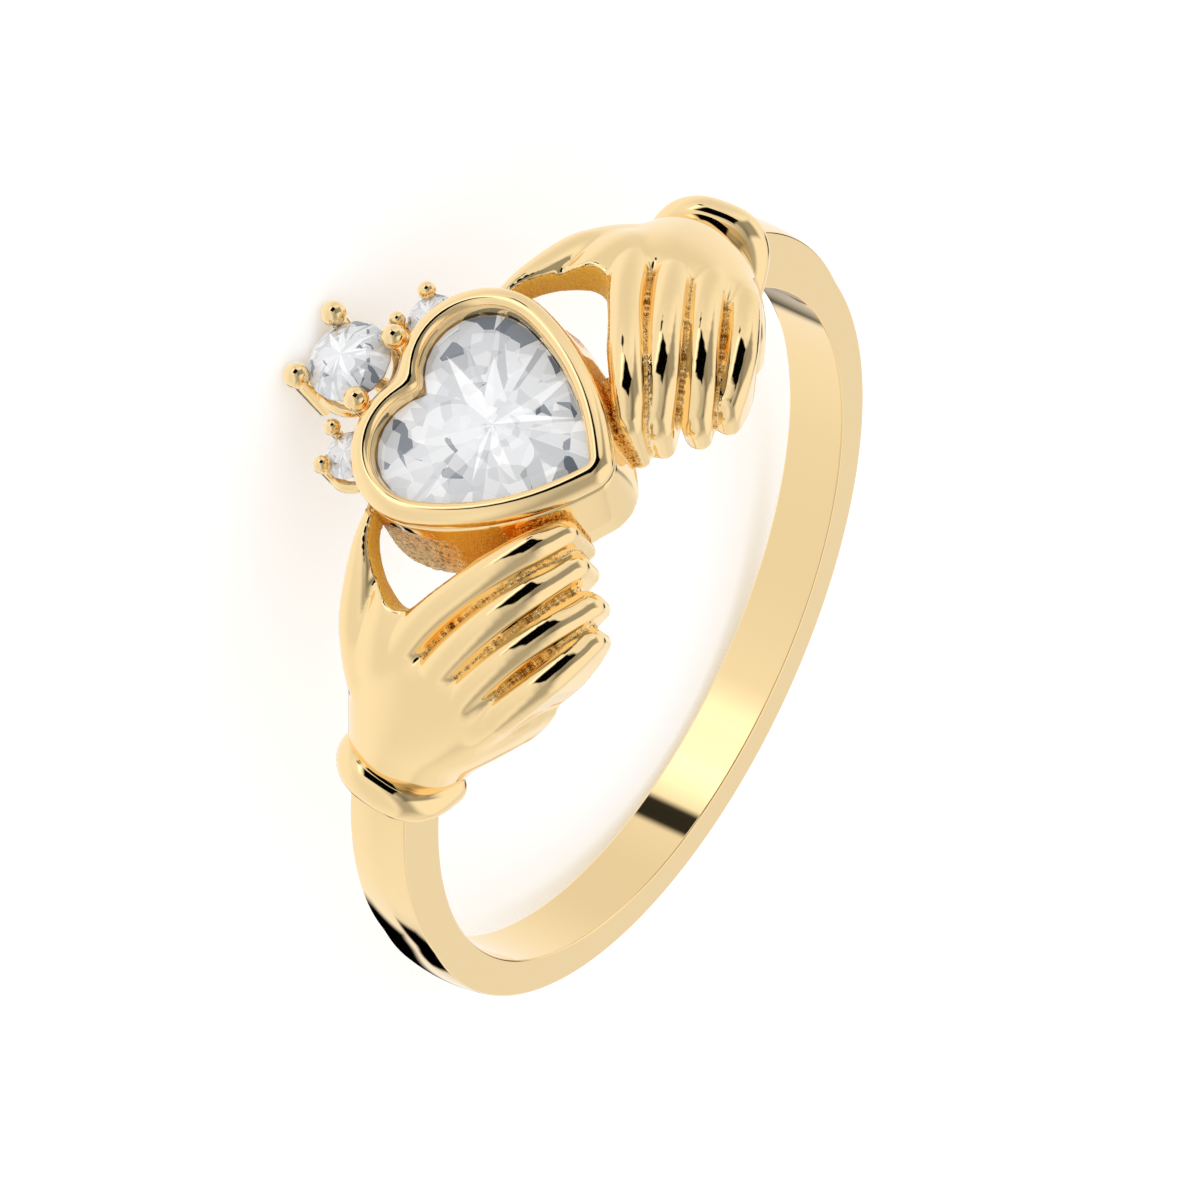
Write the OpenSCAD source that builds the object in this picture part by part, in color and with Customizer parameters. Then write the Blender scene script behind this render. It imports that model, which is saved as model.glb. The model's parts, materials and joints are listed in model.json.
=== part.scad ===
// Claddagh ring: two cuffed hands hold a heart-cut stone in a bezel, and a crown of three round
// stones stands at the cleft of the heart. The metal is one casting and each stone is its own piece.
// The ring is drawn with the finger along Z and the head up Y, and is then laid on its side, the way
// it rests on a table: on the two outer crown prongs and on the edge of the band opposite the head.

/* [Band] */
// Inside diameter of the band, mm
finger_d = 17.3; // [14:0.1:22]
// Width of the band along the finger, mm
band_w = 1.54; // [1.2:0.02:2.4]
// Thickness of the lower shank, mm
band_t = 1.02; // [0.8:0.02:1.6]
// How far the outside of the band is set towards the head, so that its shoulders thicken, mm
shoulder_shift = 1.1; // [0.6:0.1:1.6]
// Crown of the band's outer face, mm
band_dome = 0.08; // [0.02:0.01:0.2]
// Ease of the finger hole at the band's edges and under the head, mm
hole_ease = 0.02; // [0.01:0.01:0.05]

/* [Heart bezel] */
// Width of the heart along the middle of its rim, mm
heart_w = 5.56; // [4.6:0.02:6.6]
// Radius of the rolled rim, mm
rim_r = 0.36; // [0.25:0.01:0.45]
// Height of the middle of the rim above the finger, mm
rim_h = 2.2; // [1.9:0.05:3]
// Middle of the heart along the finger, towards its tip, mm
heart_z = -0.06; // [-0.4:0.02:0.4]

/* [Hands] */
// Height of the knuckles above the finger, mm
hand_h = 2.4; // [2:0.05:3]
// Reach of the hands along the finger, to the side of the little finger, mm
hand_reach = 4.2; // [3.4:0.05:5]
// Width of one finger at the knuckle, mm
finger_w = 0.92; // [0.7:0.02:1.1]
// Thickness of the thumb where it spans the opening, mm
thumb_t = 0.78; // [0.5:0.02:1.1]
// Thickness of the back of the hand over its hollow, mm
palm_t = 1.1; // [0.8:0.05:1.4]
// Depth of the grooves between the fingers, mm
groove_depth = 0.5; // [0.2:0.05:0.8]
// Angle of the cuffs from the middle of the head, degrees
cuff_angle = 50.5; // [46:0.5:54]
// Radius of the cuffs' roll, mm
cuff_roll = 0.4; // [0.25:0.01:0.5]

/* [Crown] */
// Diameter of the middle stone, mm
mid_stone_d = 2.1; // [1.6:0.05:2.4]
// Diameter of the side stones, mm
side_stone_d = 1.25; // [1:0.05:1.5]
// Diameter of the four ball prongs, mm
prong_d = 0.62; // [0.4:0.02:0.8]
// Diameter of the small prongs, mm
small_prong_d = 0.42; // [0.3:0.02:0.6]
// Height of the ball prongs above the finger, mm
crown_h = 2.2; // [1.9:0.05:3]
// Clear gap between each stone and its seat, mm
seat_gap = 0.04; // [0.02:0.01:0.08]

/* [Hidden] */
gold = [0.93, 0.76, 0.42];
clear = [0.86, 0.9, 0.95];
hole_r = finger_d / 2;
shank_r = hole_r + band_t;
root_r = 0.95 * hole_r;
knuckle_r = hole_r + hand_h;

// A place on the ring: angle from the middle of the head, distance from the finger's axis, and z.
function on_ring(a, r, z) = [r * sin(a), r * cos(a), z];
function mix(a, b, t) = a + (b - a) * t;
function middle(ring) = let (one = [for (p = ring) 1]) one * ring / len(ring);
// Angle at the knuckles' height that spans an arc of the length l.
function turn_of(l) = l / knuckle_r * 180 / PI;

// Closed skin over a row of rings that all have the same number of points.
module skin(rings) {
    n = len(rings[0]);
    last = len(rings) - 1;
    sides = [for (i = [0:last - 1]) for (k = [0:n - 1]) let (j = (k + 1) % n)
        each [[i * n + k, i * n + j, (i + 1) * n + j], [i * n + k, (i + 1) * n + j, (i + 1) * n + k]]];
    ends = [for (k = [0:n - 1]) let (j = (k + 1) % n)
        each [[j, k, (last + 1) * n], [last * n + k, last * n + j, (last + 1) * n + 1]]];
    polyhedron(
        points = concat([for (ring = rings) each ring], [middle(rings[0]), middle(rings[last])]),
        faces = concat(sides, ends));
}

// Heart outline, from two lobe arcs, two long side arcs and a tip arc that meet smoothly. The
// outline can be set outwards by d, and then shrunk by s towards the place z on its middle line.
lobe_x = 0.2 * heart_w;
lobe_r = 0.3 * heart_w;
lobe_z = heart_z - 0.2 * heart_w;
lobe_mid = [lobe_x, lobe_z];
lobe_end_z = lobe_z - lobe_r;
tip_r = 0.063 * heart_w;
tip_z = heart_z + 0.433 * heart_w;
tip_mid = [0, tip_z];
tip_end_z = tip_z + tip_r;
side_r = 1.1 * heart_w;
span = tip_mid - lobe_mid;
span_l = norm(span);
along = (pow(side_r - lobe_r, 2) - pow(side_r - tip_r, 2) + span_l * span_l) / (2 * span_l);
across = sqrt(pow(side_r - lobe_r, 2) - along * along);
side_mid = lobe_mid + along * span / span_l + across * [-span[1], span[0]] / span_l;
function bearing(v) = atan2(v[0], -v[1]);
lobe_end = bearing(lobe_mid - side_mid);
side_end = bearing(tip_mid - side_mid);
function arc(mid, r, a0, a1, steps, first) =
    [for (i = [first:steps]) let (a = mix(a0, a1, i / steps)) mid + r * [sin(a), -cos(a)]];
function heart_half(d) = concat(
    arc(lobe_mid, lobe_r + d, -asin(lobe_x / (lobe_r + d)), lobe_end, 9, 0),
    arc(side_mid, side_r + d, lobe_end, side_end, 4, 1),
    arc(tip_mid, tip_r + d, side_end, 180, 4, 1));
function heart(d) = let (half = heart_half(d), n = len(half))
    concat(half, [for (i = [n - 2:-1:1]) [-half[i][0], half[i][1]]]);
function heart_ring(y, d, s = 1, z = 0) = [for (p = heart(d)) [p[0] * s, y, z + (p[1] - z) * s]];

// Bezel: a cup that draws in below the lobes, a skirt that spreads over the index fingers, and a
// rolled rim.
rim_y = hole_r + rim_h;
lip = 0.6 * rim_r;
rim_steps = 5;
// Rows of the cup: height as a share of the rim's, and size as a share of the rim's.
cup_rows = [[-0.5, 0.5], [0.25, 0.62], [0.55, 0.8], [0.8, 0.95], [0.92, 1]];
// Rows of the skirt: height as a share of the rim's, how far it is set out as a share of the
// heart's width, and how much it shrinks towards the tip. It spreads beside the tip, and stays
// upright below the lobes.
skirt_rows = [
    [0, 0.098, 0.85], [0.3, 0.098, 0.97], [0.55, 0.065, 1], [0.8, 0.02, 1],
    [0.9, 0, 1]];
skirt_back = -0.39 * heart_w;
spread_start = -0.17 * heart_w;
spread_end = 0.045 * heart_w;
function spread(z) = let (t = max(0, min(1, (z - spread_start) / (spread_end - spread_start))))
    t * t * (3 - 2 * t);
function cup_ring(row) =
    heart_ring(mix(hole_r, rim_y, row[0]), rim_r * mix(0.75, 1, row[1]), row[1], tip_end_z);
function rim_ring(a) = heart_ring(rim_y + rim_r * sin(a), rim_r * mix(0.1, 1, cos(a)));
function skirt_ring(row) = let (
    near = heart(0.9 * rim_r), d = 0.9 * rim_r + row[1] * heart_w, far = heart(d))
    [for (i = [0:len(near) - 1])
        let (out = [far[i][0] * row[2], tip_end_z + rim_r + (far[i][1] - tip_end_z - d) * row[2]],
            p = mix(near[i], out, spread(near[i][1])))
        [p[0], mix(root_r, rim_y, row[0]), p[1]]];
module bezel_cup() {
    skin(concat(
        [for (row = cup_rows) cup_ring(row)],
        [for (i = [0:rim_steps]) rim_ring(90 * i / rim_steps)]));
}
module bezel_skirt() {
    intersection() {
        skin([for (row = skirt_rows) skirt_ring(row)]);
        translate([-heart_w, 0, skirt_back]) cube([2 * heart_w, 2 * hole_r, 2 * heart_w]);
    }
}

// Heart-cut stone: a heart girdle, a flat table above it and a culet below. It is set in from the
// rim's middle line by girdle_set.
girdle_set = -0.014 * heart_w;
girdle_y = rim_y - 1.1 * rim_r;
girdle_t = 0.02 * heart_w;
table_t = 0.11 * heart_w;
table_s = 0.78;
culet_y = hole_r + 0.02 * heart_w;
function facet_ring(y, d, s) = let (ring = heart_ring(y, d, s, heart_z))
    [for (i = [0:2:len(ring) - 1]) ring[i]];
module heart_stone_shape() {
    skin([
        facet_ring(culet_y, girdle_set, 0.04),
        facet_ring(mix(culet_y, girdle_y, 0.42), girdle_set, 0.5),
        facet_ring(girdle_y - girdle_t / 2, girdle_set, 1),
        facet_ring(girdle_y + girdle_t / 2, girdle_set, 1),
        facet_ring(girdle_y + 0.6 * table_t, -lip, mix(table_s, 1, 0.65)),
        facet_ring(girdle_y + table_t, -lip, table_s)]);
}
// Seat of the heart stone: an open back, an undercut for the girdle, and the inside of the rim.
open_back = 0.35;
module bezel_seat() {
    groove = girdle_set + seat_gap;
    skin(concat(
        [heart_ring(0, 0, open_back, heart_z), heart_ring(root_r, 0, open_back, heart_z)],
        [heart_ring(mix(culet_y, girdle_y, 0.35), 0, 0.5, heart_z)],
        [heart_ring(girdle_y - girdle_t, groove), heart_ring(girdle_y + girdle_t, groove)],
        [heart_ring(girdle_y + girdle_t + 0.4 * rim_r, -lip)],
        [for (i = [0:rim_steps]) let (a = 90 * i / rim_steps)
            heart_ring(rim_y + rim_r * sin(a), -lip * mix(0.1, 1, cos(a)))],
        [heart_ring(rim_y + 2 * rim_r, 0)]));
}

// Finger: a form along a path on the ring, with a round crest, sides that run down to the finger
// hole, and a round end. Each row gives the angle, z as a share of the hands' reach, the crest's
// height as a share of the knuckles', and the half width as a share of a finger's width.
index_rows = [
    [34, -0.06, 0.93, 0.5], [28, 0.04, 1.01, 0.5], [23, 0.16, 1.03, 0.5], [17, 0.345, 1.02, 0.46],
    [12, 0.5, 0.93, 0.4], [8.5, 0.585, 0.76, 0.34]];
middle_rows = [
    [37, 0.14, 0.9, 0.48], [30, 0.27, 1, 0.48], [23.3, 0.43, 0.97, 0.46], [17, 0.575, 0.8, 0.44],
    [11.8, 0.66, 0.54, 0.42]];
ring_rows = [
    [39, 0.33, 0.88, 0.47], [33, 0.435, 0.95, 0.46], [26, 0.6, 0.84, 0.43], [20, 0.74, 0.6, 0.4],
    [15.8, 0.815, 0.32, 0.37]];
little_rows = [
    [41, 0.49, 0.78, 0.45], [35, 0.62, 0.82, 0.44], [28.5, 0.79, 0.72, 0.41], [24, 0.885, 0.52, 0.38],
    [20.3, 0.925, 0.32, 0.35]];
thumb_rows = [
    [43, -0.1, 0.9, 0.72], [36, -0.235, 0.95, 0.62], [30, -0.37, 0.94, 0.46], [24, -0.47, 0.93, 0.36],
    [19, -0.49, 0.9, 0.32], [14, -0.49, 0.85, 0.3], [8, -0.45, 0.74, 0.3]];
function path_point(row) = [row[0] / turn_of(1), row[1] * hand_reach];
function path_dir(rows, i) =
    let (v = path_point(rows[min(i + 1, len(rows) - 1)]) - path_point(rows[max(i - 1, 0)])) v / norm(v);
function finger_ring(row, dir, w, crest, ahead = 0) =
    let (mid = path_point(row), side = [-dir[1], dir[0]],
        arch = [for (a = [0:22.5:180]) [w * cos(a), crest - w * (1 - sin(a)), ahead]],
        foot = [0.8 * w, root_r, 0.5 * ahead])
    [for (q = concat([foot], arch, [[-foot[0], foot[1], foot[2]]]))
        let (c = mid + side * q[0] + dir * q[2]) on_ring(turn_of(c[0]), q[1], c[1])];
module finger(rows, round_end = true) {
    last = len(rows) - 1;
    end = rows[last];
    end_w = end[3] * finger_w;
    skin(concat(
        [for (i = [0:last]) let (row = rows[i])
            finger_ring(row, path_dir(rows, i), row[3] * finger_w, hole_r + row[2] * hand_h)],
        [for (a = round_end ? [30, 55, 75] : [])
            finger_ring(end, path_dir(rows, last), end_w * cos(a),
                hole_r + end[2] * hand_h - end_w * (1 - cos(a)), end_w * sin(a))]));
}

// Opening between the thumb and the index finger. Each row gives the angle, and z at the finger
// hole and above the knuckles as shares of the reach.
gap_rows = [
    [15, -0.52, -0.47], [20, -0.51, -0.475], [24, -0.475, -0.42], [27, -0.4, -0.31],
    [28.4, -0.3, -0.2], [28, -0.2, -0.11], [26, -0.09, -0.02], [22, 0.03, 0.07],
    [15, 0.25, 0.25]];
module thumb_gap() {
    skin([
        [for (row = gap_rows) on_ring(row[0], hole_r - hand_h, row[1] * hand_reach)],
        [for (row = gap_rows) on_ring(row[0], hole_r + 2 * hand_h, row[2] * hand_reach)]]);
}

// Hollow under the thumb and the palm. The thumb is a strap over it, and the palm keeps a wall on
// the crown's side. Each row gives the angle, the two ends along z as shares of the reach, how high
// the form above stands as a share of the knuckles' height, and how thick it is left.
hollow_rows = [
    [4, -0.9, -0.3, 0.62, thumb_t], [8, -0.9, -0.3, 0.74, thumb_t], [14, -0.9, -0.3, 0.85, thumb_t],
    [19, -0.9, -0.3, 0.9, thumb_t], [26, -0.9, -0.2, 0.94, thumb_t], [29, -0.9, -0.14, 0.95, thumb_t]];
palm_rows = [
    [26, -0.4, -0.16, 0.96, palm_t], [33, -0.44, -0.12, 0.96, palm_t], [37.5, -0.4, -0.12, 0.96, palm_t]];
function hollow_ring(row) = let (
    top = hole_r + row[3] * hand_h - row[4], z0 = row[1] * hand_reach, z1 = row[2] * hand_reach)
    [on_ring(row[0], 0.8 * hole_r, z1), on_ring(row[0], top, z1),
        on_ring(row[0], top, z0), on_ring(row[0], 0.8 * hole_r, z0)];
module hand_hollow() {
    skin([for (row = hollow_rows) hollow_ring(row)]);
    skin([for (row = palm_rows) hollow_ring(row)]);
}

// Floor of the grooves between the fingers. Each row gives the angle, z as a share of the reach, the
// fingers' height there as a share of the knuckles', and the half width in fingers. It lies across
// the fingers at a slant. Its outline gives shares of the half width, and drops as shares of the
// knuckles' height.
floor_rows = [
    [36, 0.34, 1, 1.7], [29, 0.48, 0.92, 1.6], [22.5, 0.58, 0.78, 1.45], [18.5, 0.64, 0.6, 1.2]];
floor_outline = [[-1, 0.05], [-0.7, -0.04], [0, -0.05], [0.6, 0.05], [0.9, 0.17], [1, 0.29]];
floor_slant = 33;
function floor_place(row, u, r) =
    on_ring(row[0] + turn_of(u * sin(floor_slant)), r, row[1] * hand_reach + u * cos(floor_slant));
function floor_ring(row) = let (w = row[3] * finger_w, top = hole_r + row[2] * hand_h - groove_depth)
    concat(
        [floor_place(row, -w, root_r)],
        [for (q = floor_outline) floor_place(row, w * q[0], top - q[1] * hand_h)],
        [floor_place(row, w, root_r)]);
module groove_floor() {
    skin([for (row = floor_rows) floor_ring(row)]);
}

// Back of the hand, from the cuff to the knuckles. Each row gives the angle, the z of the thumb's
// side and of the little finger's side as shares of the reach, and the crest as a share.
back_rows = [
    [cuff_angle, -0.34, 0.46, 0.84], [46.5, -0.34, 0.48, 0.9], [43, -0.375, 0.59, 0.97],
    [39, -0.435, 0.69, 1], [35.5, -0.49, 0.77, 1.01], [32.5, -0.52, 0.8, 0.97],
    [30.3, -0.52, 0.78, 0.9]];
back_fullness = 0.62;
back_steps = 12;
function back_ring(row) = [for (i = [0:back_steps])
    let (a = 180 * i / back_steps, u = (1 - cos(a)) / 2, v = pow(sin(a), back_fullness))
    on_ring(row[0], mix(root_r, hole_r + row[3] * hand_h, v), mix(row[1], row[2], u) * hand_reach)];
module hand_back() {
    skin([for (row = back_rows) back_ring(row)]);
}

// Cuff: a rolled collar round the wrist, boxy in section, with a low shoulder that meets the band.
cuff_mid_z = 0.075 * hand_reach;
cuff_half_w = 0.34 * hand_reach;
cuff_top = 0.78 * hand_h;
cuff_wide_h = 0.1 * hand_h;
cuff_fullness = 0.72;
cuff_steps = 20;
function full(x) = sign(x) * pow(abs(x), cuff_fullness);
function cuff_ring(ahead, grow) = let (h = cuff_top - cuff_wide_h + grow, w = cuff_half_w + grow)
    [for (i = [0:cuff_steps - 1]) let (a = 360 * i / cuff_steps, up = full(cos(a)))
        on_ring(
            cuff_angle + turn_of(ahead),
            hole_r + cuff_wide_h + h * (up > 0 ? up : 0.45 * up),
            cuff_mid_z - w * full(sin(a)))];
module cuff() {
    skin(concat(
        [cuff_ring(-1.4 * cuff_roll, -0.4 * cuff_roll)],
        [for (a = [0:30:180]) cuff_ring(-1.1 * cuff_roll * cos(a), 0.85 * cuff_roll * sin(a))],
        [cuff_ring(1.8 * cuff_roll, -0.1 * cuff_roll), cuff_ring(2.1 * cuff_roll, -0.6 * cuff_roll)]));
}

module hand() {
    difference() {
        union() {
            hand_back();
            cuff();
            groove_floor();
            finger(index_rows);
            finger(middle_rows);
            finger(ring_rows);
            finger(little_rows);
            finger(thumb_rows, false);
        }
        thumb_gap();
        hand_hollow();
    }
}

// Crown: ball prongs round the middle stone, small prongs round the side stones, and a wire seat
// under each stone. It leans away from the heart, so its outer prongs stand lower than its inner
// ones. Places in the crown are measured from the middle of the four ball prongs.
prong_r = prong_d / 2;
small_r = small_prong_d / 2;
mid_r = mid_stone_d / 2;
side_stone_r = side_stone_d / 2;
crown_lean = 8;
crown_y = hole_r + crown_h;
crown_z = lobe_end_z - rim_r - 1.1 * mid_r;
prong_x = 0.83 * mid_r;
outer_z = -0.86 * mid_r;
inner_z = 0.84 * mid_r;
mid_set = -0.24 * mid_r;
mid_seat = mid_set - 0.62 * mid_r;
side_x = 1.84 * mid_r;
side_y = -0.86 * mid_r;
side_z = 0.88 * mid_r;
stem_l = 1.15 * mid_r;
function crown_place(x, y, z) = [
    x,
    crown_y + y * cos(crown_lean) + z * sin(crown_lean),
    crown_z - y * sin(crown_lean) + z * cos(crown_lean)];
module in_crown(x, y, z) {
    translate(crown_place(x, y, z)) rotate([-crown_lean, 0, 0]) children();
}
module stem(top_r, low_r, l) {
    rotate([90, 0, 0]) cylinder(r1 = top_r, r2 = low_r, h = l, $fn = 16);
}
module prong(r, l) {
    sphere(r = r, $fn = 20);
    stem(0.72 * r, 0.5 * r, l);
}
module rail(r, wire_r) {
    rotate([90, 0, 0]) rotate_extrude($fn = 32) translate([r, 0]) circle(r = wire_r, $fn = 14);
}
// Wire that ties a seat to the bezel behind it, between two places along z.
module arm(x, y, z0, z1, r) {
    in_crown(x, y, z0) cylinder(r = r, h = z1 - z0, $fn = 16);
}
module crown_side(s) {
    in_crown(s * prong_x, 0, outer_z) prong(prong_r, 1.3 * stem_l);
    in_crown(s * prong_x, 0, inner_z) prong(prong_r, stem_l);
    in_crown(s * (side_x - 0.68 * side_stone_r), side_y + small_r, side_z - 1.08 * side_stone_r)
        prong(small_r, 0.7 * stem_l);
    in_crown(s * (side_x + 0.82 * side_stone_r), side_y + small_r, side_z - 0.62 * side_stone_r)
        prong(small_r, 0.7 * stem_l);
    in_crown(s * side_x, side_y - 0.75 * side_stone_r, side_z) rail(0.95 * side_stone_r, 0.75 * small_r);
    arm(s * mix(side_x, lobe_x, 0.5), side_y - side_stone_r, side_z, side_z + 3 * side_stone_r, small_r);
}
module crown_metal() {
    crown_side(-1);
    crown_side(1);
    in_crown(0, mid_seat, 0) rail(0.93 * mid_r, 0.5 * prong_r);
    arm(0, mid_seat - 0.2 * mid_r, 0.6 * inner_z, inner_z + 1.2 * mid_r, 0.8 * prong_r);
}

// Round brilliant with its girdle at the origin and its table up Y. A spare makes it larger all
// round, which cuts its seat.
brilliant_sides = 16;
function round_ring(y, r, flatten = 1) = [for (i = [0:brilliant_sides - 1])
    let (a = 360 * i / brilliant_sides, q = i % 2 == 0 ? r : r * flatten) [q * cos(a), y, q * sin(a)]];
module brilliant(r, spare) {
    wide_r = r + spare;
    skin([
        round_ring(-0.84 * r - 1.6 * spare, 0.04 * r),
        round_ring(-0.03 * r - 0.5 * spare, wide_r),
        round_ring(0.03 * r + 0.5 * spare, wide_r),
        round_ring(0.2 * r + spare, 0.79 * wide_r, 0.98),
        round_ring(0.31 * r + spare, 0.56 * wide_r, cos(360 / brilliant_sides))]);
}
module middle_stone_shape(spare = 0) {
    in_crown(0, mid_set, 0) brilliant(mid_r, spare);
}
module side_stone_shape(s, spare = 0) {
    in_crown(s * side_x, side_y, side_z) brilliant(side_stone_r, spare);
}

// Band: two flat-sided rings with a slightly domed face, one of them set towards the head. They end
// inside the cuffs, because between the cuffs the hands and the bezel carry the ring.
dome_steps = 8;
module band_ring() {
    inner_r = hole_r - 0.9 * band_t;
    rotate_extrude($fn = 96)
        polygon(concat(
            [[inner_r, band_w / 2], [inner_r, -band_w / 2]],
            [for (i = [0:dome_steps]) let (u = 2 * i / dome_steps - 1)
                [shank_r - band_dome * u * u, u * band_w / 2]]));
}
module head_gap() {
    reach = 2 * knuckle_r;
    corner = reach * [sin(cuff_angle), cos(cuff_angle)];
    linear_extrude(height = 2 * band_w, center = true)
        polygon([[0, 0], corner, [0, 2 * reach], [-corner[0], corner[1]]]);
}
module band() {
    difference() {
        union() {
            band_ring();
            translate([0, shoulder_shift, 0]) band_ring();
        }
        head_gap();
    }
}

// Finger hole. It is a hair wider at the band's edges and under the head than along the band.
module finger_hole() {
    run = 4 * hand_reach;
    cylinder(r = hole_r, h = 2 * run, center = true, $fn = 128);
    for (s = [-1, 1])
        translate([0, 0, s * (run + band_w / 2 - hole_ease)])
            cylinder(r = hole_r + hole_ease, h = 2 * run, center = true, $fn = 128);
}

// Rest pose: the ring touches the table with its outer crown prongs and with the far edge of the
// band, so the turn follows from where those two are. It is then turned to face the front.
outer_ball = crown_place(prong_x, 0, outer_z);
rest_span = [outer_ball[1] + shank_r - band_dome, outer_ball[2] + band_w / 2];
rest_turn = asin(prong_r / norm(rest_span)) + atan2(-rest_span[1], rest_span[0]);
module at_rest() {
    rotate([rest_turn, 0, 180]) children();
}

module ring_casting() {
    color(gold) at_rest() difference() {
        union() {
            band();
            bezel_cup();
            bezel_skirt();
            crown_metal();
            hand();
            mirror([1, 0, 0]) hand();
        }
        bezel_seat();
        middle_stone_shape(seat_gap);
        side_stone_shape(-1, seat_gap);
        side_stone_shape(1, seat_gap);
        finger_hole();
    }
}
module heart_stone() {
    color(clear) at_rest() heart_stone_shape();
}
module crown_stone_middle() {
    color(clear) at_rest() middle_stone_shape();
}
module crown_stone_left() {
    color(clear) at_rest() side_stone_shape(-1);
}
module crown_stone_right() {
    color(clear) at_rest() side_stone_shape(1);
}

ring_casting();
heart_stone();
crown_stone_middle();
crown_stone_left();
crown_stone_right();
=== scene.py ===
import json
import math

import bmesh
import bpy
import numpy as np
from mathutils import Matrix, Vector, noise
from mathutils.bvhtree import BVHTree


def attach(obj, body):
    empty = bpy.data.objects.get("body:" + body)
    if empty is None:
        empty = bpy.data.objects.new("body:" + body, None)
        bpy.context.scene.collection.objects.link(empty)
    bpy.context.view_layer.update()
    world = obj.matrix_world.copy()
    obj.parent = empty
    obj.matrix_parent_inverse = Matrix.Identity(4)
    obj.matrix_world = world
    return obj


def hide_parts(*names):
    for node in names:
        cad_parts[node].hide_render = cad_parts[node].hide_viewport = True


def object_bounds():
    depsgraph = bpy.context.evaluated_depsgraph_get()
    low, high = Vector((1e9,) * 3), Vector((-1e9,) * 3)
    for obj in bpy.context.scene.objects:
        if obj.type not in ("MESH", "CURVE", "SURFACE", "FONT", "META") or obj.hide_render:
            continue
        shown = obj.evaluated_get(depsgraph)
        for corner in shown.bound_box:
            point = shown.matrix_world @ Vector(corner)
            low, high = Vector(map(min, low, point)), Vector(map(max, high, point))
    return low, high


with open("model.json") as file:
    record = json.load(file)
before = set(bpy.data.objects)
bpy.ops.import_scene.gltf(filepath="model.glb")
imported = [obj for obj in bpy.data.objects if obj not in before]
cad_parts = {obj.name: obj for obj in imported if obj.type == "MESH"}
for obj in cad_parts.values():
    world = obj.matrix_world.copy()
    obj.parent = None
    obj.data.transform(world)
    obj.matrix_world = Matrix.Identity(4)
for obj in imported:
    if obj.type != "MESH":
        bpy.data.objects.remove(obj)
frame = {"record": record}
cadBox = [list(corner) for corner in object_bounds()]
scene = bpy.context.scene
print("frame loaded")

# Pieces are modelled in the ring's own frame: millimetres, finger along z, head up y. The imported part
# lies on its side, and its finger hole says how far it is turned.
hole = frame["record"]["mounts"][0]
holeR = hole["dims"]["r_mm"]
restTurn = math.asin(hole["axis"][1])
toRest = Matrix.Scale(0.001, 4) @ Matrix.Rotation(math.pi, 4, "Z") @ Matrix.Rotation(restTurn, 4, "X")


# Small tools

def deselectAll():
    if bpy.context.object and bpy.context.object.mode != "OBJECT":
        bpy.ops.object.mode_set(mode="OBJECT")
    bpy.ops.object.select_all(action="DESELECT")


def pick(obj):
    deselectAll()
    obj.select_set(True)
    bpy.context.view_layer.objects.active = obj


def onRing(angle, r, z):
    a = math.radians(angle)
    return Vector((r * math.sin(a), r * math.cos(a), z))


def fullTurn(count):
    return np.linspace(0, 2 * math.pi, count, endpoint=False)


def smoothRows(rows, steps):
    # more rows between the given ones, on a smooth curve through them
    rows = np.array(rows, float)
    ends = np.vstack([2 * rows[0] - rows[1], rows, 2 * rows[-1] - rows[-2]])
    made = []
    for i in range(1, len(ends) - 2):
        a, b, c, d = ends[i - 1:i + 3]
        for k in range(steps):
            t = k / steps
            made.append(0.5 * (2 * b + (c - a) * t + (2 * a - 5 * b + 4 * c - d) * t * t
                               + (3 * b - a - 3 * c + d) * t ** 3))
    made.append(rows[-1])
    return np.array(made)


def loft(name, rings, closed=False):
    # a circle is laid on the first ring and extruded from ring to ring
    deselectAll()
    bpy.ops.mesh.primitive_circle_add(vertices=len(rings[0]), radius=1, fill_type="NOTHING")
    obj = bpy.context.object
    obj.name = name
    bpy.ops.object.mode_set(mode="EDIT")
    bpy.ops.mesh.select_mode(type="VERT")
    bpy.ops.mesh.select_all(action="SELECT")
    mesh = bmesh.from_edit_mesh(obj.data)
    order = mesh.verts.layers.int.new("order")
    for v in mesh.verts:
        v[order] = v.index
        v.co = rings[0][v.index]
    for ring in rings[1:] + ([rings[0]] if closed else []):
        bpy.ops.mesh.extrude_region()
        mesh = bmesh.from_edit_mesh(obj.data)
        order = mesh.verts.layers.int["order"]
        for v in mesh.verts:
            if v.select:
                v.co = ring[v[order]]
    bpy.ops.mesh.select_all(action="SELECT")
    bpy.ops.mesh.remove_doubles(threshold=1e-5)
    if not closed:
        bpy.ops.mesh.fill_holes(sides=0)
    bpy.ops.mesh.select_all(action="SELECT")
    bpy.ops.mesh.normals_make_consistent(inside=False)
    bpy.ops.object.mode_set(mode="OBJECT")
    bpy.ops.object.shade_smooth()
    return obj


def applyModifier(obj, kind, **settings):
    pick(obj)
    modifier = obj.modifiers.new(kind.lower(), kind)
    for key, value in settings.items():
        setattr(modifier, key, value)
    bpy.ops.object.modifier_apply(modifier=modifier.name)


def joinAll(objs, name):
    pick(objs[0])
    for o in objs[1:]:
        o.select_set(True)
    bpy.ops.object.join()
    bpy.context.object.name = name
    return bpy.context.object


def fuse(objs, name, voxel, rounds):
    # lofts that cross each other become one cast skin with soft inner corners
    obj = joinAll(objs, name)
    applyModifier(obj, "REMESH", mode="VOXEL", voxel_size=voxel, use_smooth_shade=True)
    applyModifier(obj, "SMOOTH", factor=0.5, iterations=rounds)
    return obj


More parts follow.
